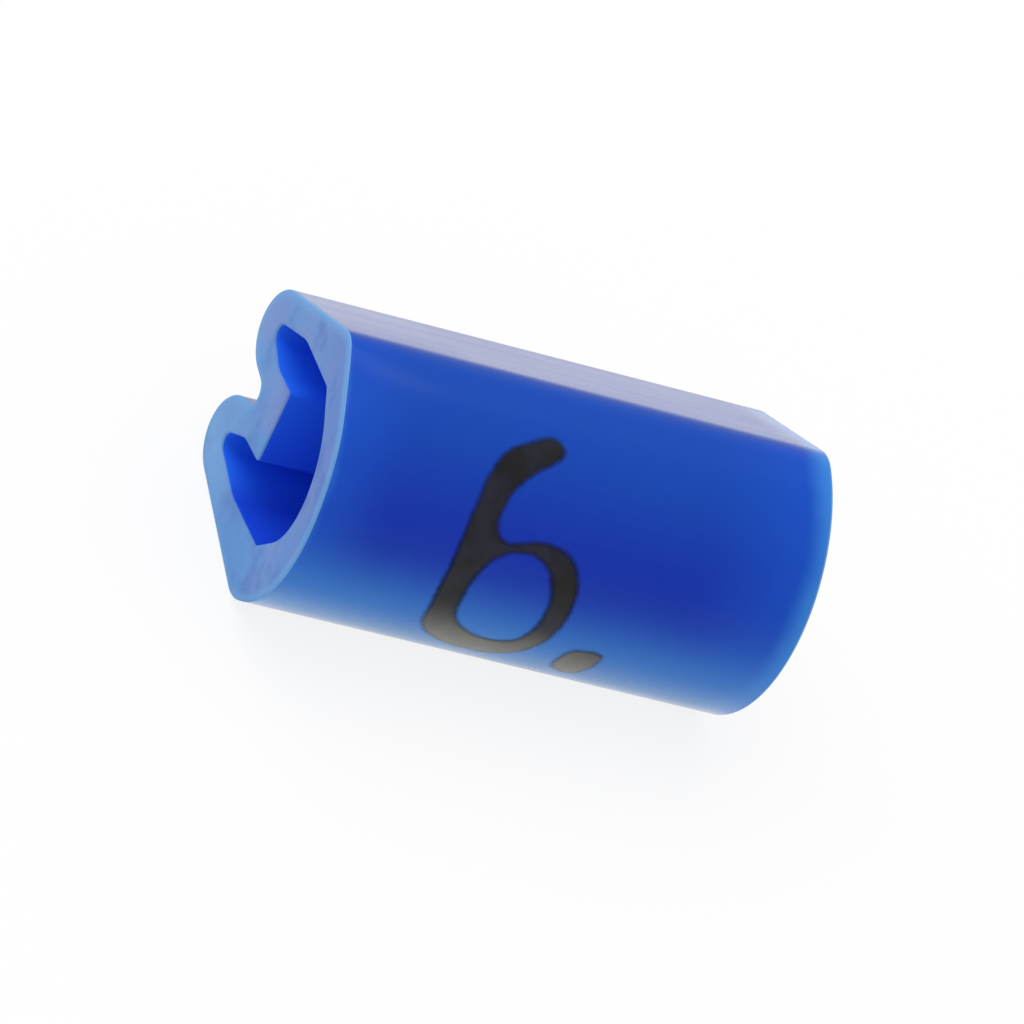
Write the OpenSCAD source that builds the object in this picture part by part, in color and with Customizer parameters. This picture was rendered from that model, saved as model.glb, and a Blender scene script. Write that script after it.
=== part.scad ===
// Slide-on cable marker: one length of soft extruded sleeve, lying on one flank.
// The section is drawn with the notch upwards and the middle of the round back at 0, 0.
// The cable runs along X, the round printed back faces -Y and the notch faces +Y.
// All lengths are in millimetres and all angles are in degrees.

/* [Sleeve] */
// Length of the sleeve along the cable
sleeve_len = 6; // [3:0.5:20]
// Height of the section, from the round back to the tops of the two lobes
sleeve_h = 3.4; // [3.2:0.05:3.9]
// Radius of the round back that carries the print
back_r = 1.8; // [1.7:0.05:2]
// Angle below the middle at which the round back runs out into the side edges
edge_angle = 24; // [20:1:28]
// Straight run from the round back to the corner of each side edge
edge_run = 0.2; // [0.16:0.02:0.3]
// Rounding of the side edges
edge_r = 0.25; // [0.05:0.05:0.35]
// Lean of the two flat flanks towards each other
flank_lean = 16.5; // [12:0.5:20]

/* [Fold] */
// Depth of the notch below the lobe tops
notch_depth = 0.7; // [0.5:0.05:0.85]
// Lean of the notch walls away from each other
notch_lean = 12; // [9:0.5:16]
// Rounding of the bottom of the notch
notch_r = 0.15; // [0.1:0.01:0.18]
// Width of the tongue that grips the cable
tongue_w = 0.9; // [0.7:0.05:1.05]
// Reach of the tongue's end below the lobe tops
tongue_drop = 1.35; // [1.15:0.05:1.7]
// Rounding of the tongue's two corners
tongue_r = 0.06; // [0.03:0.01:0.15]

/* [Cavity] */
// Wall of the flanks
flank_wall = 0.39; // [0.32:0.01:0.46]
// Wall at the middle of the round back
back_wall = 0.5; // [0.4:0.05:0.65]
// Width of the cavity between its straight sides
cavity_w = 2.05; // [1.85:0.05:2.25]
// Blend between the straight sides and the inner flanks
side_r = 0.6; // [0.3:0.05:1]
// Radius of the cavity's floor
floor_r = 0.96; // [0.85:0.01:1.05]
// Slope of the floor where it meets the straight sides
floor_slope = 53.5; // [48:0.5:58]
// Rounding of the floor's two corners
floor_corner_r = 0.13; // [0.06:0.01:0.2]

/* [Ears] */
// Depth below the lobe tops at which the ears open beside the tongue
ear_drop = 0.84; // [0.75:0.01:0.95]
// Lean of the ears' inner walls, following the fold
ear_lean = 24; // [20:0.5:28]
// Rounding of the ear tips
ear_r = 0.13; // [0.08:0.01:0.16]
// Blend between the ears and the sides of the tongue
ear_root_r = 0.4; // [0.1:0.05:0.6]

/* [Near cut] */
// Depth of the hollow that the blade left in the near end
cut_hollow = 0.1; // [0.04:0.01:0.15]
// Turn of that hollow's curve away from the section's height, towards the right lobe
cut_turn = 22; // [0:1:40]

/* [Hidden] */
$fn = 96;

// Facets of the near cut's wide round, of which the sleeve takes only a short stretch
cut_fn = 720;

// Rounding circles are this much too large, so that they cross the straight sides cleanly
arc_excess = 0.0005;

// Tops of the lobes and the corner of the right side edge
lobe_top = sleeve_h - back_r;
edge_x = back_r * cos(edge_angle) + edge_run * sin(edge_angle);
edge_y = edge_run * cos(edge_angle) - back_r * sin(edge_angle);

// Notch walls meet below the rounded notch bottom
notch_y = lobe_top - notch_depth + notch_r - notch_r / sin(notch_lean);

// Flank and notch wall meet above each lobe, whose round top fills the height
lobe_y = (edge_x + edge_y * tan(flank_lean) + notch_y * tan(notch_lean))
       / (tan(flank_lean) + tan(notch_lean));
lobe_x = (lobe_y - notch_y) * tan(notch_lean);
lobe_half = (flank_lean + notch_lean) / 2;
lobe_tilt = (flank_lean - notch_lean) / 2;
lobe_r = (lobe_y - lobe_top) / (cos(lobe_tilt) / sin(lobe_half) - 1);

// Inner flank, at the flank's wall from the outside: x = inner_flank_x - y * tan(flank_lean)
inner_flank_x = edge_x + edge_y * tan(flank_lean) - flank_wall / cos(flank_lean);
side_x = cavity_w / 2;
side_y = (inner_flank_x - side_x) / tan(flank_lean);

// Cavity floor: a round bottom between two slopes
floor_mid_y = floor_r + back_wall - back_r;
floor_corner_y = floor_mid_y + (side_x * sin(floor_slope) - floor_r) / cos(floor_slope);
floor_y = floor_mid_y - floor_r / cos(floor_slope);

// Ears: between the inner flanks and the leaning walls beside the tongue
tongue_x = tongue_w / 2;
tongue_y = lobe_top - tongue_drop;
ear_root_y = lobe_top - ear_drop;
ear_y = (inner_flank_x - tongue_x + ear_root_y * tan(ear_lean))
      / (tan(flank_lean) + tan(ear_lean));
ear_x = inner_flank_x - ear_y * tan(flank_lean);

// The sleeve lies on its right flank: the turn that brings it down, and the section's reach then
lie_turn = -90 - flank_lean;
rest_h = edge_x * cos(flank_lean) + edge_y * sin(flank_lean);
lobe_mid = [lobe_x, lobe_y] - lobe_r / sin(lobe_half) * [-sin(lobe_tilt), cos(lobe_tilt)];
notch_side_reach = lobe_mid.x * sin(flank_lean) + lobe_mid.y * cos(flank_lean) + lobe_r;
middle_y = (notch_side_reach - back_r) / 2;

// The near cut bows between the back and the right lobe, where it leaves the full length
cut_reach = lobe_mid.x * sin(cut_turn) + lobe_mid.y * cos(cut_turn) + lobe_r;
cut_mid = (cut_reach - back_r) / 2;
cut_half = (cut_reach + back_r) / 2;
cut_r = (cut_half * cut_half + cut_hollow * cut_hollow) / (2 * cut_hollow);

// Corners of a symmetric outline, each [x, y, rounding]: the right half, then the same mirrored
function mirrored(c) = [for (i = [len(c) - 1:-1:0]) [-c[i].x, c[i].y, c[i].z]];

sleeve_half = [[edge_x, edge_y, edge_r], [lobe_x, lobe_y, lobe_r]];
notch_corner = [0, notch_y, notch_r];
back_corner = [0, -back_r / sin(edge_angle), back_r];
sleeve_corners = concat(sleeve_half, [notch_corner], mirrored(sleeve_half), [back_corner]);

cavity_half = [
    [side_x, floor_corner_y, floor_corner_r],
    [side_x, side_y, side_r],
    [ear_x, ear_y, ear_r],
    [tongue_x, ear_root_y, ear_root_r],
    [tongue_x, tongue_y, tongue_r]];
floor_corner = [0, floor_y, floor_r];
cavity_corners = concat(cavity_half, mirrored(cavity_half), [floor_corner]);

// Directions from a corner to its neighbours, and what its rounding needs
function flat(p) = [p.x, p.y];
function unit(p) = p / norm(p);
function to_last(c, i) = unit(flat(c[(i + len(c) - 1) % len(c)]) - flat(c[i]));
function to_next(c, i) = unit(flat(c[(i + 1) % len(c)]) - flat(c[i]));
function half_angle(c, i) = acos(to_last(c, i) * to_next(c, i)) / 2;
function inward(c, i) = unit(to_last(c, i) + to_next(c, i));
function tangent_run(c, i) = c[i].z / tan(half_angle(c, i));

// A circle that is too large crosses its tangents a little past the points where it should touch them
function cap_lap(r) = 2 * sqrt(2 * r * arc_excess);

// The outlines run anticlockwise, so the sides turn left at a corner that stands out
function stands_out(c, i) = cross(to_last(c, i), to_next(c, i)) < 0;

// Round cap of one corner, from a little behind its chord to the arc
module corner_cap(c, i) {
    r = c[i].z + arc_excess;
    chord = c[i].z * sin(half_angle(c, i)) - cap_lap(r);
    out = -inward(c, i);
    translate(flat(c[i]) - out * c[i].z / sin(half_angle(c, i)))
        rotate(atan2(out.y, out.x))
            intersection() {
                circle(r);
                translate([chord, -2 * r]) square([2 * r, 4 * r]);
            }
}

// Closed outline with straight sides and a true arc at each corner
module rounded_outline(c) {
    last = len(c) - 1;
    difference() {
        union() {
            polygon([for (i = [0:last]) each [
                flat(c[i]) + to_last(c, i) * tangent_run(c, i),
                flat(c[i]) + to_next(c, i) * tangent_run(c, i)]]);
            for (i = [0:last]) if (stands_out(c, i)) corner_cap(c, i);
        }
        for (i = [0:last]) if (!stands_out(c, i)) corner_cap(c, i);
    }
}

// Heart-shaped wall: two lobes, a notch between them and a tongue inside
module sleeve_section() {
    difference() {
        rounded_outline(sleeve_corners);
        rounded_outline(cavity_corners);
    }
}

// What the blade took out of the near end: a wide round that dips into the section's plane
module near_cut() {
    rotate(-cut_turn)
        translate([0, cut_mid, cut_hollow - cut_r])
            rotate([0, 90, 0])
                cylinder(r = cut_r, h = 4 * back_r, center = true, $fn = cut_fn);
}

// The whole marker, with its far end cut square to the cable
module marker_sleeve() {
    color("royalblue")
        translate([-sleeve_len / 2, -middle_y, rest_h])
            rotate([90, 0, 90])
                rotate(lie_turn)
                    difference() {
                        translate([0, 0, -cut_hollow])
                            linear_extrude(sleeve_len + cut_hollow) sleeve_section();
                        near_cut();
                    }
}

marker_sleeve();
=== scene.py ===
"""Looks of a slide-on cable marker: a soft blue sleeve with a printed figure.

Sizes in the classes are millimetres and degrees. Meshes are drawn in millimetres and brought to
metres when they become objects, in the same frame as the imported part.
"""

import logging
import math
from abc import ABC, abstractmethod
from dataclasses import dataclass, field
from enum import Enum
from typing import Any, Iterable

import bmesh
import bpy
from mathutils import Matrix, Quaternion, Vector
from mathutils.kdtree import KDTree


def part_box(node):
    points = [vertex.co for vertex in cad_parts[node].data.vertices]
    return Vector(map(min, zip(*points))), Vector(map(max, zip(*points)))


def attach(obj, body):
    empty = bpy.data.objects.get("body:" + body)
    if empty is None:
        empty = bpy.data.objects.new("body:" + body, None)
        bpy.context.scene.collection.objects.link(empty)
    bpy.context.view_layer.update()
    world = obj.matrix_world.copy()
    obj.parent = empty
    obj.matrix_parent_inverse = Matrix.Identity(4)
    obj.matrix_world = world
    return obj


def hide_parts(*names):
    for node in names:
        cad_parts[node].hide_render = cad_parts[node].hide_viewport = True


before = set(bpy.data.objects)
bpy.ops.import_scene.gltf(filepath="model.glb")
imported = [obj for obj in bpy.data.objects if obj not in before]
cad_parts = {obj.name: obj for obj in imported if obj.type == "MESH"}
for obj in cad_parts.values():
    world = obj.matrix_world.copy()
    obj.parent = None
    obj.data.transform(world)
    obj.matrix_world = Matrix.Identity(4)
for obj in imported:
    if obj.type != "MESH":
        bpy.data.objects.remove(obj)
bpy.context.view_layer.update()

LOG = logging.getLogger("cable_marker")
MM = 0.001
BODY = "root"
SLEEVE_NODE = "marker_sleeve"

Colour = tuple[float, float, float]
Point = tuple[float, float]
Triple = tuple[float, float, float]

WHITE: Colour = (1.0, 1.0, 1.0)
NOISE_MIDDLE = 0.5
NOISE_DETAIL = 3.0


class Slot(Enum):
    """Material slots of the record."""

    SLEEVE = "sleeve_pvc"
    INK = "print_ink"


class Side(Enum):
    """Which side of the wall an outline is, as the sign of its growth where it goes into the wall."""

    OUTSIDE = -1
    CAVITY = 1


class Face(Enum):
    """Material places on the sleeve's mesh."""

    SKIN = 0
    CUT = 1


class Layer(Enum):
    """Numbers on the meshes' vertices that the finishes read."""

    CAVITY = "cavity"
    # Where the cut face's painted highlight lies along its outer rim.
    RIM = "rim"
    COVER = "cover"


class Value:
    """A number that varies over a surface. Arithmetic on it adds Math nodes."""

    def __init__(self, board: "Board", socket: bpy.types.NodeSocket) -> None:
        """Wraps one output socket of a node on the board."""
        self.board = board
        self.socket = socket

    def _math(self, operation: str, first: Any, second: Any) -> "Value":
        """Adds one Math node and wraps its result."""
        node = self.board.node("ShaderNodeMath", {"operation": operation}, {0: first, 1: second})
        return Value(self.board, node.outputs[0])

    def __add__(self, other: Any) -> "Value":
        """Sum."""
        return self._math("ADD", self, other)

    def __radd__(self, other: Any) -> "Value":
        """Sum with a plain number first."""
        return self._math("ADD", other, self)

    def __sub__(self, other: Any) -> "Value":
        """Difference."""
        return self._math("SUBTRACT", self, other)

    def __rsub__(self, other: Any) -> "Value":
        """Difference from a plain number."""
        return self._math("SUBTRACT", other, self)

    def __mul__(self, other: Any) -> "Value":
        """Product."""
        return self._math("MULTIPLY", self, other)

    def __rmul__(self, other: Any) -> "Value":
        """Product with a plain number first."""
        return self._math("MULTIPLY", other, self)

    def most(self, other: Any) -> "Value":
        """The larger of two values."""
        return self._math("MAXIMUM", self, other)

    def ramp(self, low: float, high: float) -> "Value":
        """Smooth step from 0 at low to 1 at high.

        Args:
            low: value that gives 0.
            high: value that gives 1, which may be the lower of the two.

        Returns:
            The stepped value, held between 0 and 1.
        """
        settings = {"interpolation_type": "SMOOTHSTEP"}
        start, end = (0.0, 1.0) if low < high else (1.0, 0.0)
        node = self.board.node(
            "ShaderNodeMapRange",
            settings,
            {0: self, 1: min(low, high), 2: max(low, high), 3: start, 4: end},
        )
        return Value(self.board, node.outputs[0])


class Board:
    """The node tree of one material or world, written as expressions."""

    def __init__(self, tree: bpy.types.NodeTree) -> None:
        """Empties the tree, ready for new nodes."""
        self.tree = tree
        tree.nodes.clear()

    def node(
        self, kind: str, settings: dict[str, Any] | None = None, links: dict[Any, Any] | None = None
    ) -> bpy.types.Node:
        """Adds one node.

        Args:
            kind: the node's type name.
            settings: properties of the node, set first.
            links: values or sockets for its inputs, by name or number.

        Returns:
            The new node.
        """
        made = self.tree.nodes.new(kind)
        for name, setting in (settings or {}).items():
            setattr(made, name, setting)
        for name, given in (links or {}).items():
            socket = made.inputs[name]
            given = given.socket if isinstance(given, Value) else given
            if isinstance(given, bpy.types.NodeSocket):
                self.tree.links.new(given, socket)
            elif isinstance(given, tuple) and len(given) == 3 and socket.type == "RGBA":
                socket.default_value = (*given, 1.0)
            else:
                socket.default_value = given
        return made

    def place(self) -> bpy.types.NodeSocket:
        """Object coordinates in millimetres.

        Returns:
            The coordinates' socket.
        """
        coords = self.node("ShaderNodeTexCoord")
        scale = {"Vector": coords.outputs["Object"], "Scale": (1 / MM,) * 3}
        return self.node("ShaderNodeMapping", links=scale).outputs["Vector"]

    def parts_of(self, vector: bpy.types.NodeSocket) -> tuple[Value, Value, Value]:
        """The three parts of a vector as values."""
        split = self.node("ShaderNodeSeparateXYZ", links={"Vector": vector})
        return tuple(Value(self, out) for out in split.outputs)

    def stretched(self, vector: bpy.types.NodeSocket, scale: Triple) -> bpy.types.NodeSocket:
        """The vector with each part times its scale."""
        links = {"Vector": vector, "Scale": scale}
        return self.node("ShaderNodeMapping", links=links).outputs["Vector"]

    def noise(self, vector: bpy.types.NodeSocket, scale: float) -> Value:
        """Soft noise between 0 and 1, with so many bumps to the millimetre."""
        links = {"Vector": vector, "Scale": scale, "Detail": NOISE_DETAIL}
        return Value(self, self.node("ShaderNodeTexNoise", links=links).outputs[0])

    def attribute(self, layer: Layer) -> Value:
        """A number stored on the mesh's vertices."""
        stored = self.node("ShaderNodeAttribute", {"attribute_name": layer.value})
        return Value(self, stored.outputs["Fac"])

    def mix(self, share: Any, first: Any, second: Any) -> bpy.types.NodeSocket:
        """A colour between two others.

        Args:
            share: how much of the second colour shows.
            first: colour where the share is 0.
            second: colour where the share is 1.

        Returns:
            The mixed colour's socket.
        """
        settings = {"data_type": "RGBA", "clamp_factor": True}
        links = {"Factor": share, 6: first, 7: second}
        return self.node("ShaderNodeMix", settings, links).outputs[2]

    def seen(self) -> Value:
        """Tells what is seen by itself, in a gloss or through glass from what only lights.

        Returns:
            1 for what is seen and 0 for its light.
        """
        path = self.node("ShaderNodeLightPath")
        camera, gloss, glass = (
            Value(self, path.outputs[f"Is {kind} Ray"]) for kind in ("Camera", "Glossy", "Transmission")
        )
        return camera.most(gloss).most(glass)

    def bump(self, height: Value, depth: float) -> bpy.types.NodeSocket:
        """A normal for fine relief.

        Args:
            height: relief between 0 and 1.
            depth: how deep that relief is, in millimetres.

        Returns:
            The normal's socket.
        """
        links = {"Strength": 1.0, "Distance": depth * MM, "Height": height}
        return self.node("ShaderNodeBump", links=links).outputs["Normal"]

    def surface(self, links: dict[str, Any]) -> bpy.types.NodeSocket:
        """The shader of a plain surface with those values and sockets."""
        return self.node("ShaderNodeBsdfPrincipled", links=links).outputs[0]


class Finish(ABC):
    """A surface finish that makes one material."""

    name: str

    def material(self) -> bpy.types.Material:
        """Makes the material.

        Returns:
            The finished material.
        """
        made = bpy.data.materials.new(self.name)
        made.use_nodes = True
        board = Board(made.node_tree)
        shader = self.shader(board)
        board.node("ShaderNodeOutputMaterial", links={"Surface": shader})
        return made

    @abstractmethod
    def shader(self, board: Board) -> bpy.types.NodeSocket:
        """Wires the finish and returns its shader socket."""


@dataclass(frozen=True)
class SleevePvc(Finish):
    """Satin soft PVC: deep blue round the middle, with painted light at the top, the bottom, the ends
    and in the cavity, painted shade on the notch side and a painted reflection of the floor low down.
    """

    name: str = "sleeve_satin_pvc"
    deep: Colour = (0.003, 0.033, 0.43)
    # Painted light from above: a lighter blue for the top of the wall.
    top_light: Colour = (0.004, 0.064, 0.44)
    # Painted shade: a darker blue for the wall on the notch side.
    flank: Colour = (0.004, 0.052, 0.34)
    # Painted light from the floor: a lighter, greener blue for the lower wall.
    floor_glow: Colour = (0.022, 0.185, 0.60)
    # Painted reflection of the white floor: a pale blue along the lowest wall.
    floor_reflection: Colour = (0.10, 0.32, 0.68)
    # Painted glow reaching in wide from both ends.
    glow: Colour = (0.005, 0.075, 0.54)
    # Painted glow close to the cuts.
    edge: Colour = (0.036, 0.22, 0.68)
    # Painted light inside the cavity: lighter than the wall, lightest in the ears.
    cavity_glow: Colour = (0.015, 0.083, 0.80)
    ear: Colour = (0.025, 0.185, 0.98)
    half_length: float = 3.0
    top_light_span: Point = (2.3, 3.3)
    flank_shade_span: Point = (-0.12, 0.12)
    floor_glow_span: Point = (2.1, 1.0)
    floor_reflection_span: Point = (1.2, 0.4)
    ear_glow_span: Point = (0.0, 0.6)
    glow_reach: Point = (0.9, 1.6)
    edge_glow_reach: Point = (0.15, 0.35)
    near_edge_glow_share: float = 0.5
    drift_scale: float = 0.9
    height_drift: float = 0.12
    end_drift: float = 0.3
    line_stretch: Triple = (0.25, 6.0, 6.0)
    line_scale: float = 3.0
    line_share: float = 0.7
    band_stretch: Triple = (0.06, 1.3, 1.3)
    band_scale: float = 1.0
    speckle_scale: float = 14.0
    relief: float = 0.0015
    roughness: float = 0.26
    drift_roughness: float = 0.1
    speckle_roughness: float = 0.05
    gloss: float = 0.08
    film: float = 0.7
    film_ior: float = 1.2
    film_roughness: float = 0.15

    def shader(self, board: Board) -> bpy.types.NodeSocket:
        """Mixes the blues by place, with painted light at the top, bottom, ends and cavity, painted
        shade on the notch side and a painted floor reflection low down, and adds faint lines along the
        extrusion.

        Args:
            board: the material's node board.

        Returns:
            The shader's socket.
        """
        place = board.place()
        along, across, up = board.parts_of(place)
        drift = board.noise(place, self.drift_scale) - NOISE_MIDDLE
        height = up + self.height_drift * drift
        stray = self.end_drift * drift
        # Painted light from above on the top of the wall.
        wall = board.mix(height.ramp(*self.top_light_span), self.deep, self.top_light)
        # Painted glow near both ends.
        near, far = self.near_ends(along, stray, self.glow_reach)
        wall = board.mix(near.most(far), wall, self.glow)
        # Painted light from the floor on the lower wall.
        wall = board.mix(height.ramp(*self.floor_glow_span), wall, self.floor_glow)
        # Painted reflection of the floor along the lowest wall.
        wall = board.mix(height.ramp(*self.floor_reflection_span), wall, self.floor_reflection)
        # Painted shade on the notch side of the wall.
        wall = board.mix(across.ramp(*self.flank_shade_span), wall, self.flank)
        # Painted glow close to the cuts, fainter at the near end.
        near, far = self.near_ends(along, stray, self.edge_glow_reach)
        wall = board.mix((self.near_edge_glow_share * near).most(far), wall, self.edge)
        # Painted light in the cavity, lightest in the ears.
        cavity_glow = board.mix(across.ramp(*self.ear_glow_span), self.cavity_glow, self.ear)
        lines = board.noise(board.stretched(place, self.line_stretch), self.line_scale)
        bands = board.noise(board.stretched(place, self.band_stretch), self.band_scale)
        speckle = board.noise(place, self.speckle_scale)
        uneven = self.drift_roughness * drift + self.speckle_roughness * (speckle - NOISE_MIDDLE)
        relief = self.line_share * lines + (1 - self.line_share) * speckle
        links = {
            # The cavity mark puts the painted cavity light over the wall colour.
            "Base Color": board.mix(board.attribute(Layer.CAVITY), wall, cavity_glow),
            "Roughness": self.roughness + uneven,
            "Specular IOR Level": self.gloss,
            "Coat Weight": self.film + (bands - NOISE_MIDDLE),
            "Coat IOR": self.film_ior,
            "Coat Roughness": self.film_roughness,
            "Normal": board.bump(relief, self.relief),
        }
        return board.surface(links)

    def near_ends(self, along: Value, stray: Value, reach: Point) -> tuple[Value, Value]:
        """How near a place is to the two ends.

        Args:
            along: place along the sleeve.
            stray: how far the place strays from that, so that the edge of the glow is uneven.
            reach: how far in from the near and from the far end the glow starts.

        Returns:
            One value for the near and one for the far end, which are 1 at the end itself.
        """
        near, far = stray - along, stray + along
        half = self.half_length
        return near.ramp(half - reach[0], half), far.ramp(half - reach[1], half)


@dataclass(frozen=True)
class CutPvc(Finish):
    """Matt face that the blade left, paler than the skin, uneven, with a painted highlight along its
    outer rim.
    """

    name: str = "sleeve_cut_pvc"
    pale: Colour = (0.17, 0.28, 0.61)
    cool: Colour = (0.105, 0.29, 0.65)
    dull: Colour = (0.12, 0.20, 0.53)
    # Painted highlight: a lighter blue along the cut face's outer rim.
    rim: Colour = (0.14, 0.36, 0.71)
    shade: Colour = (0.06, 0.16, 0.55)
    light: Colour = (0.25, 0.47, 0.77)
    patch_scale: float = 1.1
    patch_span: Point = (0.40, 0.72)
    patch_lean: float = 0.2
    lean_span: Point = (2.0, 0.8)
    blot_scale: float = 2.6
    blot_span: Point = (0.45, 0.70)
    blot_share: float = 0.55
    shade_span: Point = (-1.6, -3.8)
    light_span: Point = (-0.6, 0.9)
    slope_share: float = 0.5
    rim_highlight_share: float = 0.8
    drag_stretch: Triple = (1.0, 9.0, 2.0)
    drag_scale: float = 2.0
    drag_share: float = 0.5
    grain_scale: float = 18.0
    relief: float = 0.008
    roughness: float = 0.62
    blot_roughness: float = 0.2
    gloss: float = 0.25

    def shader(self, board: Board) -> bpy.types.NodeSocket:
        """Mixes the pale blues in patches, leaning to the cooler blue lower down, with painted shade
        towards the upper side and painted light towards the lower lobe, and adds fine drag marks.

        Args:
            board: the material's node board.

        Returns:
            The shader's socket.
        """
        place = board.place()
        _, across, up = board.parts_of(place)
        lean = self.patch_lean * up.ramp(*self.lean_span)
        patches = (board.noise(place, self.patch_scale) + lean).ramp(*self.patch_span)
        blots = board.noise(place, self.blot_scale).ramp(*self.blot_span)
        face = board.mix(patches, self.pale, self.cool)
        face = board.mix(self.blot_share * blots, face, self.dull)
        # Painted shade towards the upper side, painted light towards the lower lobe.
        slope = across - up
        face = board.mix(self.slope_share * slope.ramp(*self.shade_span), face, self.shade)
        face = board.mix(self.slope_share * slope.ramp(*self.light_span), face, self.light)
        drag = board.noise(board.stretched(place, self.drag_stretch), self.drag_scale)
        grain = board.noise(place, self.grain_scale)
        relief = self.drag_share * drag + (1 - self.drag_share) * grain
        links = {
            # Painted highlight along the outer rim, where the rim mark is set.
            "Base Color": board.mix(self.rim_highlight_share * board.attribute(Layer.RIM), face, self.rim),
            "Roughness": self.roughness + self.blot_roughness * (blots - NOISE_MIDDLE),
            "Specular IOR Level": self.gloss,
            "Normal": board.bump(relief, self.relief),
        }
        return board.surface(links)


@dataclass(frozen=True)
class PrintInk(Finish):
    """Thin black ink, greyed round the lower side by painted light from the floor."""

    name: str = "print_matt_ink"
    black: Colour = (0.005, 0.005, 0.006)
    blue: Colour = (0.012, 0.014, 0.028)
    # Painted light from the floor: greys the ink round the lower side.
    floor_light: Colour = (0.20, 0.20, 0.165)
    cloud_scale: float = 2.2
    cloud_span: Point = (0.35, 0.65)
    floor_lit_span: Point = (1.5, 0.6)
    floor_lit_drift: float = 0.4
    grain_scale: float = 16.0
    cover_grain: float = 0.4
    cover_span: Point = (0.1, 0.9)
    relief: float = 0.002
    roughness: float = 0.38
    grain_roughness: float = 0.2
    gloss: float = 0.2
    film: float = 0.5
    film_ior: float = 1.2
    film_roughness: float = 0.25

    def shader(self, board: Board) -> bpy.types.NodeSocket:
        """Fades the ink at its edges, and greys it towards the lower side with painted light from the
        floor.

        Args:
            board: the material's node board.

        Returns:
            The shader's socket.
        """
        place = board.place()
        _, _, up = board.parts_of(place)
        cloud = board.noise(place, self.cloud_scale)
        grain = board.noise(place, self.grain_scale)
        uneven = grain - NOISE_MIDDLE
        # Painted light from the floor, stronger lower down.
        floor_lit = (up + self.floor_lit_drift * (cloud - NOISE_MIDDLE)).ramp(*self.floor_lit_span)
        ink = board.mix(cloud.ramp(*self.cloud_span), self.black, self.blue)
        cover = board.attribute(Layer.COVER) + self.cover_grain * uneven
        links = {
            "Base Color": board.mix(floor_lit, ink, self.floor_light),
            "Roughness": self.roughness + self.grain_roughness * uneven,
            "Specular IOR Level": self.gloss,
            "Coat Weight": self.film,
            "Coat IOR": self.film_ior,
            "Coat Roughness": self.film_roughness,
            "Alpha": cover.ramp(*self.cover_span),
            "Normal": board.bump(grain, self.relief),
        }
        return board.surface(links)


@dataclass(frozen=True)
class FloorPaper(Finish):
    """White paper that the marker lies on."""

    name: str = "floor_white_paper"
    white: Colour = (0.93, 0.93, 0.93)
    shade: Colour = (0.90, 0.90, 0.905)
    cloud_scale: float = 0.05
    roughness: float = 0.8
    gloss: float = 0.1
    plain_white: float = 0.85

    def shader(self, board: Board) -> bpy.types.NodeSocket:
        """Almost even white with soft clouds of shade, and plain white where it is seen.

        Args:
            board: the material's node board.

        Returns:
            The shader's socket.
        """
        cloud = board.noise(board.place(), self.cloud_scale)
        links = {
            "Base Color": board.mix(cloud, self.white, self.shade),
            "Roughness": self.roughness,
            "Specular IOR Level": self.gloss,
        }
        white = board.node("ShaderNodeEmission", links={"Color": WHITE, "Strength": 1.0})
        shown = {0: board.seen() * self.plain_white, 1: board.surface(links), 2: white.outputs[0]}
        return board.node("ShaderNodeMixShader", links=shown).outputs[0]


@dataclass(frozen=True)
class Corner:
    """A rounded corner of a closed outline."""

    x: float
    y: float
    radius: float

    def mirrored(self) -> "Corner":
        """The same corner on the other side of the section."""
        return Corner(-self.x, self.y, self.radius)


@dataclass(frozen=True)
class Arc:
    """The round of one corner, swept from its start about its centre."""

    centre: Vector
    start: Vector
    turn: float
    sag: float = 0.0004
    least_steps: int = 6

    @property
    def radius(self) -> float:
        """Radius of the arc."""
        return (self.start - self.centre).length

    @property
    def steps(self) -> int:
        """Chords that keep the arc within its sag."""
        step = 2 * math.acos(1 - self.sag / self.radius)
        return max(self.least_steps, math.ceil(abs(self.turn) / step))

    def offset(self, distance: float) -> Vector:
        """Start of the arc after the whole outline grew by a distance."""
        grown = self.radius + math.copysign(distance, distance * self.turn)
        return self.centre + (self.start - self.centre) * grown / self.radius


def rounded(corners: list[Corner]) -> list[Arc]:
    """Arcs of an outline that runs anticlockwise through its corners.

    Args:
        corners: the outline's sharp corners with their roundings.

    Returns:
        One arc for each corner; straight sides join them.
    """
    arcs = []
    points = [Vector((c.x, c.y)) for c in corners]
    for i, corner in enumerate(corners):
        to_last = (points[i - 1] - points[i]).normalized()
        to_next = (points[(i + 1) % len(points)] - points[i]).normalized()
        half = to_last.angle(to_next) / 2
        inward = (to_last + to_next).normalized()
        out = 1 if to_next.cross(to_last) > 0 else -1
        centre = points[i] + inward * corner.radius / math.sin(half)
        start = points[i] + to_last * corner.radius / math.tan(half)
        arcs.append(Arc(centre, start, out * (math.pi - 2 * half)))
    return arcs


def sine(angle: float) -> float:
    """Sine of an angle in degrees."""
    return math.sin(math.radians(angle))


def cosine(angle: float) -> float:
    """Cosine of an angle in degrees."""
    return math.cos(math.radians(angle))


def tangent(angle: float) -> float:
    """Tangent of an angle in degrees."""
    return math.tan(math.radians(angle))


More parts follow.
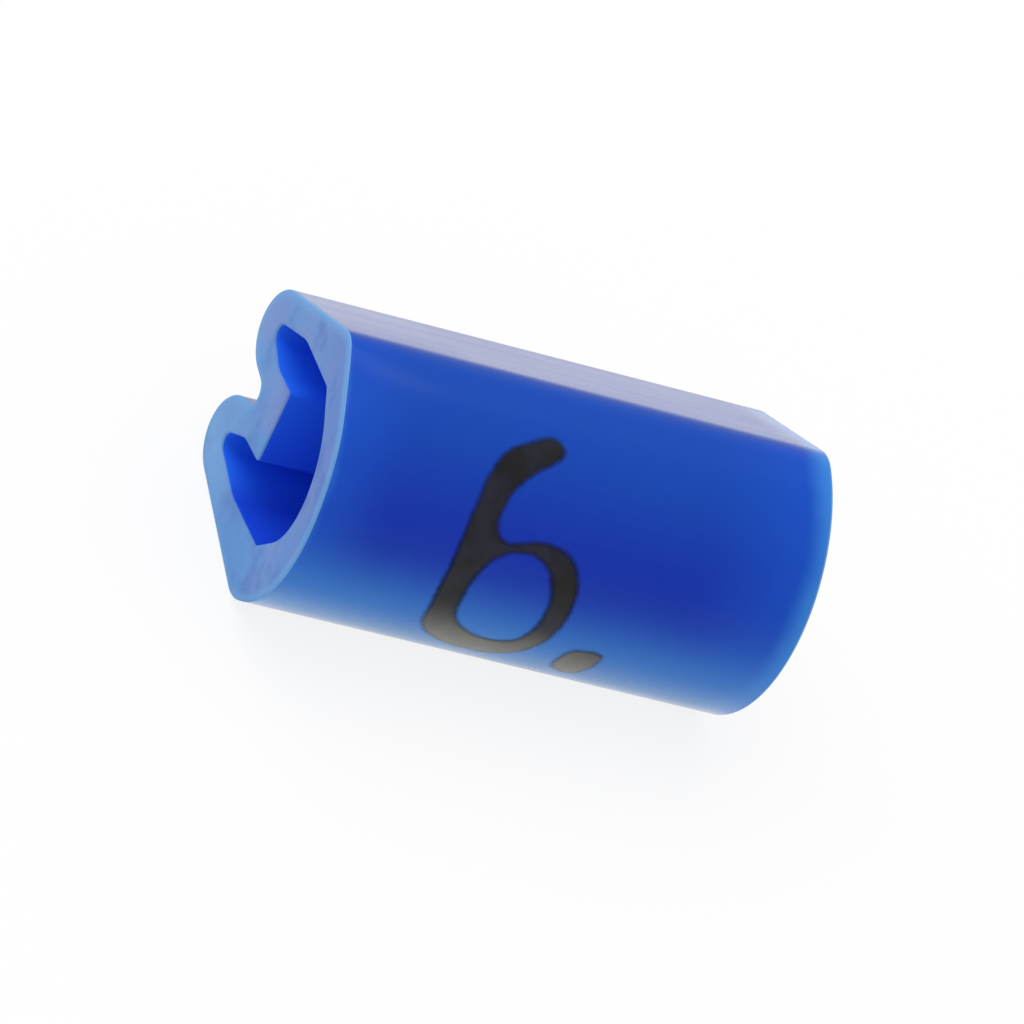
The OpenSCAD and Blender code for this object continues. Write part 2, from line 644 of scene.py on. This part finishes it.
@dataclass
class SleeveSection:
    """Heart-shaped section, drawn with its notch up and the middle of the round back at 0, 0."""

    height: float = 3.4
    back_r: float = 1.8
    edge_angle: float = 24.0
    edge_run: float = 0.2
    edge_r: float = 0.5
    flank_lean: float = 16.5
    notch_depth: float = 0.7
    notch_lean: float = 12.0
    notch_r: float = 0.15
    tongue_w: float = 0.9
    tongue_drop: float = 1.35
    tongue_r: float = 0.06
    flank_wall: float = 0.39
    back_wall: float = 0.5
    cavity_w: float = 2.05
    side_r: float = 0.6
    floor_r: float = 0.96
    floor_slope: float = 53.5
    floor_corner_r: float = 0.13
    ear_drop: float = 0.84
    ear_lean: float = 24.0
    ear_r: float = 0.13
    ear_root_r: float = 0.4

    @property
    def lobe_top(self) -> float:
        """Height of the two lobes above the middle of the back."""
        return self.height - self.back_r

    @property
    def edge(self) -> Corner:
        """Side edge, where the round back runs out into the flank.

        Returns:
            The right side edge's corner.
        """
        x = self.back_r * cosine(self.edge_angle) + self.edge_run * sine(self.edge_angle)
        y = self.edge_run * cosine(self.edge_angle) - self.back_r * sine(self.edge_angle)
        return Corner(x, y, self.edge_r)

    @property
    def lobe(self) -> Corner:
        """Corner above one lobe, where flank and notch wall would meet.

        Returns:
            The right lobe's corner, rounded so that the lobe ends at the section's height.
        """
        flank, notch = tangent(self.flank_lean), tangent(self.notch_lean)
        y = (self.edge.x + self.edge.y * flank + self.notch.y * notch) / (flank + notch)
        half = (self.flank_lean + self.notch_lean) / 2
        tilt = (self.flank_lean - self.notch_lean) / 2
        radius = (y - self.lobe_top) / (cosine(tilt) / sine(half) - 1)
        return Corner((y - self.notch.y) * notch, y, radius)

    @property
    def notch(self) -> Corner:
        """Bottom of the notch between the lobes."""
        low = self.lobe_top - self.notch_depth + self.notch_r
        return Corner(0.0, low - self.notch_r / sine(self.notch_lean), self.notch_r)

    def outside(self) -> list[Arc]:
        """Draws the outer outline, anticlockwise.

        Returns:
            Its arcs, from the right side edge on.
        """
        half = [self.edge, self.lobe]
        back = Corner(0.0, -self.back_r / sine(self.edge_angle), self.back_r)
        return rounded([*half, self.notch, *(c.mirrored() for c in reversed(half)), back])

    def cavity(self) -> list[Arc]:
        """Draws the cavity's outline, anticlockwise.

        Returns:
            Its arcs, from the floor's right corner on.
        """
        flank, ear = tangent(self.flank_lean), tangent(self.ear_lean)
        inner_flank = self.edge.x + self.edge.y * flank - self.flank_wall / cosine(self.flank_lean)
        side = self.cavity_w / 2
        floor_y = self.floor_r + self.back_wall - self.back_r
        slope = self.floor_slope
        corner_y = floor_y + (side * sine(slope) - self.floor_r) / cosine(slope)
        tongue = self.tongue_w / 2
        root_y = self.lobe_top - self.ear_drop
        ear_y = (inner_flank - tongue + root_y * ear) / (flank + ear)
        half = [
            Corner(side, corner_y, self.floor_corner_r),
            Corner(side, (inner_flank - side) / flank, self.side_r),
            Corner(inner_flank - ear_y * flank, ear_y, self.ear_r),
            Corner(tongue, root_y, self.ear_root_r),
            Corner(tongue, self.lobe_top - self.tongue_drop, self.tongue_r),
        ]
        floor = Corner(0.0, floor_y - self.floor_r / cosine(slope), self.floor_r)
        return rounded([*half, *(c.mirrored() for c in reversed(half)), floor])

    def lying(self) -> Matrix:
        """Turns and shifts the upright section to where the sleeve lies on one flank.

        Returns:
            The matrix of that turn and shift.
        """
        rest = self.edge.x * cosine(self.flank_lean) + self.edge.y * sine(self.flank_lean)
        lobe = self.outside()[1]
        reach = lobe.centre.x * sine(self.flank_lean) + lobe.centre.y * cosine(self.flank_lean)
        middle = (reach + lobe.radius - self.back_r) / 2
        turn = Matrix.Rotation(math.radians(-90 - self.flank_lean), 4, "X")
        return Matrix.Translation((0, -middle, rest)) @ turn


def finished(
    name: str, bm: bmesh.types.BMesh, lying: Matrix, finishes: Iterable[Finish]
) -> bpy.types.Object:
    """Turns a drawn mesh into a piece that rides on the marker.

    Args:
        name: the piece's name.
        bm: the mesh, drawn in millimetres with the section upright; it is freed.
        lying: turn and shift to the place where the marker lies.
        finishes: the piece's finishes in the order of its material places.

    Returns:
        The new object, at the origin.
    """
    bmesh.ops.transform(bm, matrix=Matrix.Scale(MM, 4) @ lying, verts=bm.verts)
    mesh = bpy.data.meshes.new(name)
    bm.to_mesh(mesh)
    bm.free()
    mesh.shade_smooth()
    for finish in finishes:
        mesh.materials.append(finish.material())
    piece = bpy.data.objects.new(name, mesh)
    bpy.context.scene.collection.objects.link(piece)
    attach(piece, BODY)
    mesh.calc_loop_triangles()
    LOG.info("%s: %d faces, %d triangles", name, len(mesh.polygons), len(mesh.loop_triangles))
    return piece


@dataclass
class MarkerSleeve:
    """The extruded sleeve, with slightly broken rims, a hollow near cut and a dent beside it."""

    section: SleeveSection = field(default_factory=SleeveSection)
    length: float = 6.0
    skin_depth: float = 0.008
    rim_r: float = 0.03
    rim_steps: int = 4
    rim_band: float = 0.09
    body_steps: int = 20
    body_gather: float = 1.6
    cut_hollow: float = 0.1
    cut_turn: float = 22.0
    hollow_reach: float = 1.0
    dent_depth: float = 0.08
    dent_reach: float = 1.3
    dent_turn: float = 50.0
    dent_spread: float = 24.0

    def build(self) -> bpy.types.Object:
        """Draws the sleeve and hands it over with its finishes.

        Returns:
            The sleeve's object, which stands for the plain solid.
        """
        bm = bmesh.new()
        for layer in (Layer.CAVITY, Layer.RIM):
            bm.verts.layers.float.new(layer.value)
        outside = self.wall(bm, self.section.outside(), Side.OUTSIDE)
        cavity = self.wall(bm, self.section.cavity(), Side.CAVITY)
        for end in (0, -1):
            filled = bmesh.ops.triangle_fill(bm, use_beauty=True, edges=outside[end] + cavity[end])
            for made in filled["geom"]:
                if isinstance(made, bmesh.types.BMFace):
                    made.material_index = Face.CUT.value
        bmesh.ops.recalc_face_normals(bm, faces=bm.faces)
        self.dent_back(bm)
        self.hollow_near_end(bm)
        piece = finished("sleeve_skin", bm, self.section.lying(), self.finishes())
        piece.modifiers.new("even_shading", "WEIGHTED_NORMAL").keep_sharp = True
        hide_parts(SLEEVE_NODE)
        return piece

    def finishes(self) -> list[Finish]:
        """Finishes of the skin and of the cut ends."""
        return [SleevePvc(half_length=self.length / 2), CutPvc()]

    def stations(self, side: Side) -> list[tuple[float, float, Face]]:
        """Places of the rings along the sleeve.

        Args:
            side: whether the rings are those of the outside or of the cavity.

        Returns:
            For each ring its place, its depth below the wall and the face that leads up to it.
        """
        half = self.length / 2
        rim = []
        for step in range(self.rim_steps + 1):
            angle = math.pi / 2 * step / self.rim_steps
            rim.append((self.rim_r * (1 - math.sin(angle)), self.rim_r * (1 - math.cos(angle))))
        if side is Side.OUTSIDE:
            rim.append((0.0, self.rim_r + self.rim_band))
        near = [(-half + along, depth, Face.CUT) for along, depth in reversed(rim)]
        far = [(half - along, depth, Face.CUT) for along, depth in rim]
        run = self.length - 2 * self.rim_r
        body = [
            (-half + self.rim_r + run * (step / self.body_steps) ** self.body_gather, 0.0, Face.SKIN)
            for step in range(1, self.body_steps)
        ]
        skin_end = (far[0][0], far[0][1], Face.SKIN)
        return [*near, *body, skin_end, *far[1:]]

    def wall(self, bm: bmesh.types.BMesh, arcs: list[Arc], side: Side) -> list[list[bmesh.types.BMEdge]]:
        """Draws one wall as rings bridged along the sleeve.

        Args:
            bm: mesh to draw in.
            arcs: the wall's outline.
            side: whether the outline is the outside or the cavity.

        Returns:
            The rings' edges, from the near end to the far end.
        """
        rings = []
        for along, depth, face in self.stations(side):
            rings.append(self.ring(bm, arcs, along, side, depth))
            if len(rings) > 1:
                bridged = bmesh.ops.bridge_loops(bm, edges=rings[-2] + rings[-1])
                for made in bridged["faces"]:
                    made.material_index = face.value
        return rings

    def ring(
        self, bm: bmesh.types.BMesh, arcs: list[Arc], along: float, side: Side, depth: float
    ) -> list[bmesh.types.BMEdge]:
        """Draws one closed outline with a true arc at every corner.

        Args:
            bm: mesh to draw in.
            arcs: the outline's arcs.
            along: place of the ring along the sleeve.
            side: whether the outline is the outside or the cavity.
            depth: depth of the ring below the wall's surface.

        Returns:
            The outline's edges.
        """
        growth = side.value * (depth + (self.skin_depth if side is Side.OUTSIDE else 0.0))
        cavity, rim = (bm.verts.layers.float[layer.value] for layer in (Layer.CAVITY, Layer.RIM))
        ends, edges = [], []
        for arc in arcs:
            first = bm.verts.new((along, *arc.offset(growth)))
            first[cavity] = float(side is Side.CAVITY)
            # The rim mark places the cut face's painted highlight.
            first[rim] = float(side is Side.OUTSIDE and depth <= self.rim_r)
            known = len(bm.edges)
            swept = bmesh.ops.spin(
                bm,
                geom=[first],
                cent=(along, *arc.centre),
                axis=(1, 0, 0),
                angle=arc.turn,
                steps=arc.steps,
            )
            last = next(g for g in swept["geom_last"] if isinstance(g, bmesh.types.BMVert))
            bm.edges.ensure_lookup_table()
            edges.extend(bm.edges[known:])
            ends.append((first, last))
        for (_, last), (first, _) in zip(ends, ends[1:] + ends[:1]):
            edges.append(bm.edges.new((last, first)))
        return edges

    def dent_back(self, bm: bmesh.types.BMesh) -> None:
        """Presses a shallow dent into the back beside the near cut.

        Args:
            bm: the sleeve's mesh, with its section upright.
        """
        cavity = bm.verts.layers.float[Layer.CAVITY.value]
        for vert in bm.verts:
            turn = math.degrees(math.atan2(-vert.co.y, -vert.co.z))
            near = 1 - (vert.co.x + self.length / 2) / self.dent_reach
            side = 1 - abs(turn - self.dent_turn) / self.dent_spread
            if vert[cavity] == 0.0 and near > 0 and side > 0:
                press = self.dent_depth * near**2 * side * side * (3 - 2 * side)
                vert.co -= Vector((0, vert.co.y, vert.co.z)).normalized() * press

    def hollow_near_end(self, bm: bmesh.types.BMesh) -> None:
        """Sinks the near cut in a wide round, as the blade left it.

        Args:
            bm: the sleeve's mesh, with its section upright.
        """
        across, up = sine(self.cut_turn), cosine(self.cut_turn)
        lobe = self.section.outside()[1]
        reach = lobe.centre.x * across + lobe.centre.y * up + lobe.radius
        middle = (reach - self.section.back_r) / 2
        half = (reach + self.section.back_r) / 2
        radius = (half**2 + self.cut_hollow**2) / (2 * self.cut_hollow)
        for vert in bm.verts:
            fade = 1 - (vert.co.x + self.length / 2) / self.hollow_reach
            if fade > 0:
                place = vert.co.y * across + vert.co.z * up - middle
                vert.co.x += fade * (self.cut_hollow - radius + math.sqrt(radius**2 - place**2))


@dataclass
class PrintedFigure:
    """The printed figure and its full stop, wrapped round the back.

    Outlines are drawn flat, along the sleeve and round the back from the middle of the back.
    """

    sleeve: MarkerSleeve
    rise: float = 0.006
    sunk: float = 0.01
    soft_edge: float = 0.13
    cell: float = 0.04
    knot_steps: int = 8
    weld: float = 0.0005
    snap: float = 1e-5
    figure: tuple[Point, ...] = (
        (-0.46, 1.62),
        (-0.77, 1.52),
        (-1.05, 1.35),
        (-1.22, 1.08),
        (-1.31, 0.68),
        (-1.34, 0.00),
        (-1.29, -0.68),
        (-1.18, -1.08),
        (-0.92, -1.34),
        (-0.62, -1.47),
        (-0.32, -1.50),
        (-0.02, -1.38),
        (0.20, -1.12),
        (0.35, -0.65),
        (0.35, -0.25),
        (0.26, 0.12),
        (0.06, 0.38),
        (-0.32, 0.49),
        (-0.58, 0.44),
        (-0.75, 0.40),
        (-0.86, 0.48),
        (-0.87, 0.66),
        (-0.79, 0.89),
        (-0.61, 1.09),
        (-0.41, 1.24),
        (-0.31, 1.34),
        (-0.29, 1.49),
    )
    counter: tuple[Point, ...] = (
        (-0.53, 0.21),
        (-0.76, 0.10),
        (-0.87, -0.12),
        (-0.89, -0.42),
        (-0.81, -0.74),
        (-0.61, -0.91),
        (-0.36, -0.98),
        (-0.14, -0.92),
        (-0.04, -0.70),
        (-0.03, -0.36),
        (-0.13, -0.04),
        (-0.30, 0.16),
    )
    stop: tuple[Point, ...] = (
        (0.51, -1.10),
        (0.59, -0.84),
        (0.75, -0.77),
        (1.01, -0.80),
        (1.06, -0.99),
        (1.03, -1.26),
        (0.92, -1.49),
        (0.66, -1.45),
        (0.54, -1.31),
    )

    def build(self) -> list[bpy.types.Object]:
        """Prints both marks.

        Returns:
            The figure's and the full stop's objects.
        """
        marks = {"printed_figure": [self.figure, self.counter], "printed_stop": [self.stop]}
        return [self.mark(name, outlines) for name, outlines in marks.items()]

    def mark(self, name: str, outlines: list[tuple[Point, ...]]) -> bpy.types.Object:
        """Prints one mark.

        Args:
            name: the piece's name.
            outlines: its outer outline and the outlines of its holes.

        Returns:
            The mark's object.
        """
        bm = self.film(outlines)
        self.divide(bm)
        self.soften(bm)
        self.thicken(bm)
        self.wrap(bm)
        bmesh.ops.recalc_face_normals(bm, faces=bm.faces)
        piece = finished(name, bm, self.sleeve.section.lying(), [PrintInk()])
        return piece

    def film(self, outlines: list[tuple[Point, ...]]) -> bmesh.types.BMesh:
        """Fills smooth outlines as a flat film.

        Args:
            outlines: closed outlines, the holes after the outer one.

        Returns:
            The flat film's mesh.
        """
        curve = bpy.data.curves.new("mark_outline", "CURVE")
        curve.dimensions = "2D"
        curve.fill_mode = "BOTH"
        curve.resolution_u = self.knot_steps
        for outline in outlines:
            spline = curve.splines.new("BEZIER")
            spline.bezier_points.add(len(outline) - 1)
            spline.use_cyclic_u = True
            for knot, point in zip(spline.bezier_points, outline):
                knot.co = (*point, 0.0)
                knot.handle_left_type = knot.handle_right_type = "AUTO"
        drawn = bpy.data.objects.new("mark_outline", curve)
        bpy.context.scene.collection.objects.link(drawn)
        bpy.context.view_layer.update()
        graph = bpy.context.evaluated_depsgraph_get()
        mesh = bpy.data.meshes.new_from_object(drawn.evaluated_get(graph))
        bpy.data.objects.remove(drawn)
        bpy.data.curves.remove(curve)
        bm = bmesh.new()
        bm.from_mesh(mesh)
        bpy.data.meshes.remove(mesh)
        bmesh.ops.remove_doubles(bm, verts=bm.verts, dist=self.weld)
        return bm

    def divide(self, bm: bmesh.types.BMesh) -> None:
        """Cuts the flat film into small cells, fine enough to bend and to fade.

        Args:
            bm: the flat film.
        """
        for axis in (Vector((1, 0, 0)), Vector((0, 1, 0))):
            places = [v.co.dot(axis) for v in bm.verts]
            cut = min(places) + self.cell
            while cut < max(places):
                geom = [*bm.verts, *bm.edges, *bm.faces]
                bmesh.ops.bisect_plane(bm, geom=geom, dist=self.snap, plane_co=axis * cut, plane_no=axis)
                cut += self.cell

    def soften(self, bm: bmesh.types.BMesh) -> None:
        """Marks how far the ink covers, from nothing at its edge to all of it inside.

        Args:
            bm: the flat film.
        """
        cover = bm.verts.layers.float.new(Layer.COVER.value)
        edge = [v for v in bm.verts if v.is_boundary]
        near = KDTree(len(edge))
        for i, vert in enumerate(edge):
            near.insert(vert.co, i)
        near.balance()
        for vert in bm.verts:
            _, _, distance = near.find(vert.co)
            vert[cover] = min(1.0, distance / self.soft_edge)

    def thicken(self, bm: bmesh.types.BMesh) -> None:
        """Gives the film a thickness that reaches a little into the sleeve.

        Args:
            bm: the flat film.
        """
        drawn = bmesh.ops.extrude_face_region(bm, geom=bm.faces[:], use_keep_orig=True)
        top = [g for g in drawn["geom"] if isinstance(g, bmesh.types.BMVert)]
        bmesh.ops.translate(bm, vec=(0, 0, self.rise + self.sunk), verts=top)
        bmesh.ops.translate(bm, vec=(0, 0, -self.sunk), verts=bm.verts)

    def wrap(self, bm: bmesh.types.BMesh) -> None:
        """Lays the film round the back.

        Args:
            bm: the flat film.
        """
        radius = self.sleeve.section.back_r - self.sleeve.skin_depth
        for vert in bm.verts:
            angle = vert.co.y / radius
            reach = radius + vert.co.z
            vert.co = (vert.co.x, -reach * math.sin(angle), -reach * math.cos(angle))


@dataclass
class Studio:
    """White paper floor, soft overhead light and the camera."""

    aim: Triple = (-0.037, -0.155, 1.458)
    distance: float = 93.614
    azimuth: float = -32.497
    elevation: float = 38.102
    roll: float = 35.394
    lens: float = 300.954
    sensor: float = 36.0
    clip: Point = (1.0, 10000.0)
    floor_size: float = 1500.0
    surround: float = 0.7
    key_place: Triple = (-30.0, 45.0, 120.0)
    key_size: float = 140.0
    key_power: float = 0.1

    def build(self) -> None:
        """Sets up the floor, the lamp, the surround and the camera."""
        self.floor()
        self.lamp("key_overhead", Vector(self.key_place), self.key_size, self.key_power)
        self.world()
        self.camera()
        bpy.context.scene.view_settings.view_transform = "Standard"

    def floor(self) -> None:
        """Lays the paper floor just under the marker."""
        bm = bmesh.new()
        bmesh.ops.create_grid(bm, x_segments=2, y_segments=2, size=self.floor_size * MM / 2)
        mesh = bpy.data.meshes.new("paper_floor")
        bm.to_mesh(mesh)
        bm.free()
        mesh.materials.append(FloorPaper().material())
        floor = bpy.data.objects.new("paper_floor", mesh)
        bpy.context.scene.collection.objects.link(floor)

    def lamp(self, name: str, place: Vector, size: float, power: float) -> None:
        """Hangs one soft square lamp that looks at the marker.

        Args:
            name: the lamp's name.
            place: where it hangs, in millimetres.
            size: side of its panel.
            power: its power in watts.
        """
        light = bpy.data.lights.new(name, "AREA")
        light.size = size * MM
        light.energy = power
        lamp = bpy.data.objects.new(name, light)
        lamp.location = place * MM
        lamp.rotation_mode = "QUATERNION"
        lamp.rotation_quaternion = (Vector(self.aim) - place).to_track_quat("-Z", "Y")
        bpy.context.scene.collection.objects.link(lamp)

    def world(self) -> None:
        """Surrounds the marker with soft white light."""
        world = bpy.data.worlds.new("white_surround")
        world.use_nodes = True
        board = Board(world.node_tree)
        links = {"Color": WHITE, "Strength": self.surround}
        background = board.node("ShaderNodeBackground", links=links)
        board.node("ShaderNodeOutputWorld", links={"Surface": background.outputs[0]})
        bpy.context.scene.world = world

    def camera(self) -> None:
        """Sets the camera at the photograph's angle."""
        turn, tilt = math.radians(self.azimuth), math.radians(self.elevation)
        back = Vector(
            (math.sin(turn) * math.cos(tilt), -math.cos(turn) * math.cos(tilt), math.sin(tilt))
        )
        lens = bpy.data.cameras.new("camera")
        lens.lens = self.lens
        lens.sensor_width = self.sensor
        lens.clip_start, lens.clip_end = (reach * MM for reach in self.clip)
        camera = bpy.data.objects.new("camera", lens)
        camera.location = (Vector(self.aim) + back * self.distance) * MM
        camera.rotation_mode = "QUATERNION"
        level = (-back).to_track_quat("-Z", "Y")
        camera.rotation_quaternion = level @ Quaternion((0, 0, 1), math.radians(self.roll))
        bpy.context.scene.collection.objects.link(camera)
        bpy.context.scene.camera = camera


def main() -> None:
    """Builds the marker and its studio in order."""
    logging.basicConfig(level=logging.INFO, format="%(name)s: %(message)s")
    low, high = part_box(SLEEVE_NODE)
    # Rounded to a micrometre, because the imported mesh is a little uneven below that
    sleeve = MarkerSleeve(length=round((high.x - low.x) / MM, 3))
    sleeve.build()
    PrintedFigure(sleeve).build()
    Studio().build()


if __name__ == "__main__":
    main()
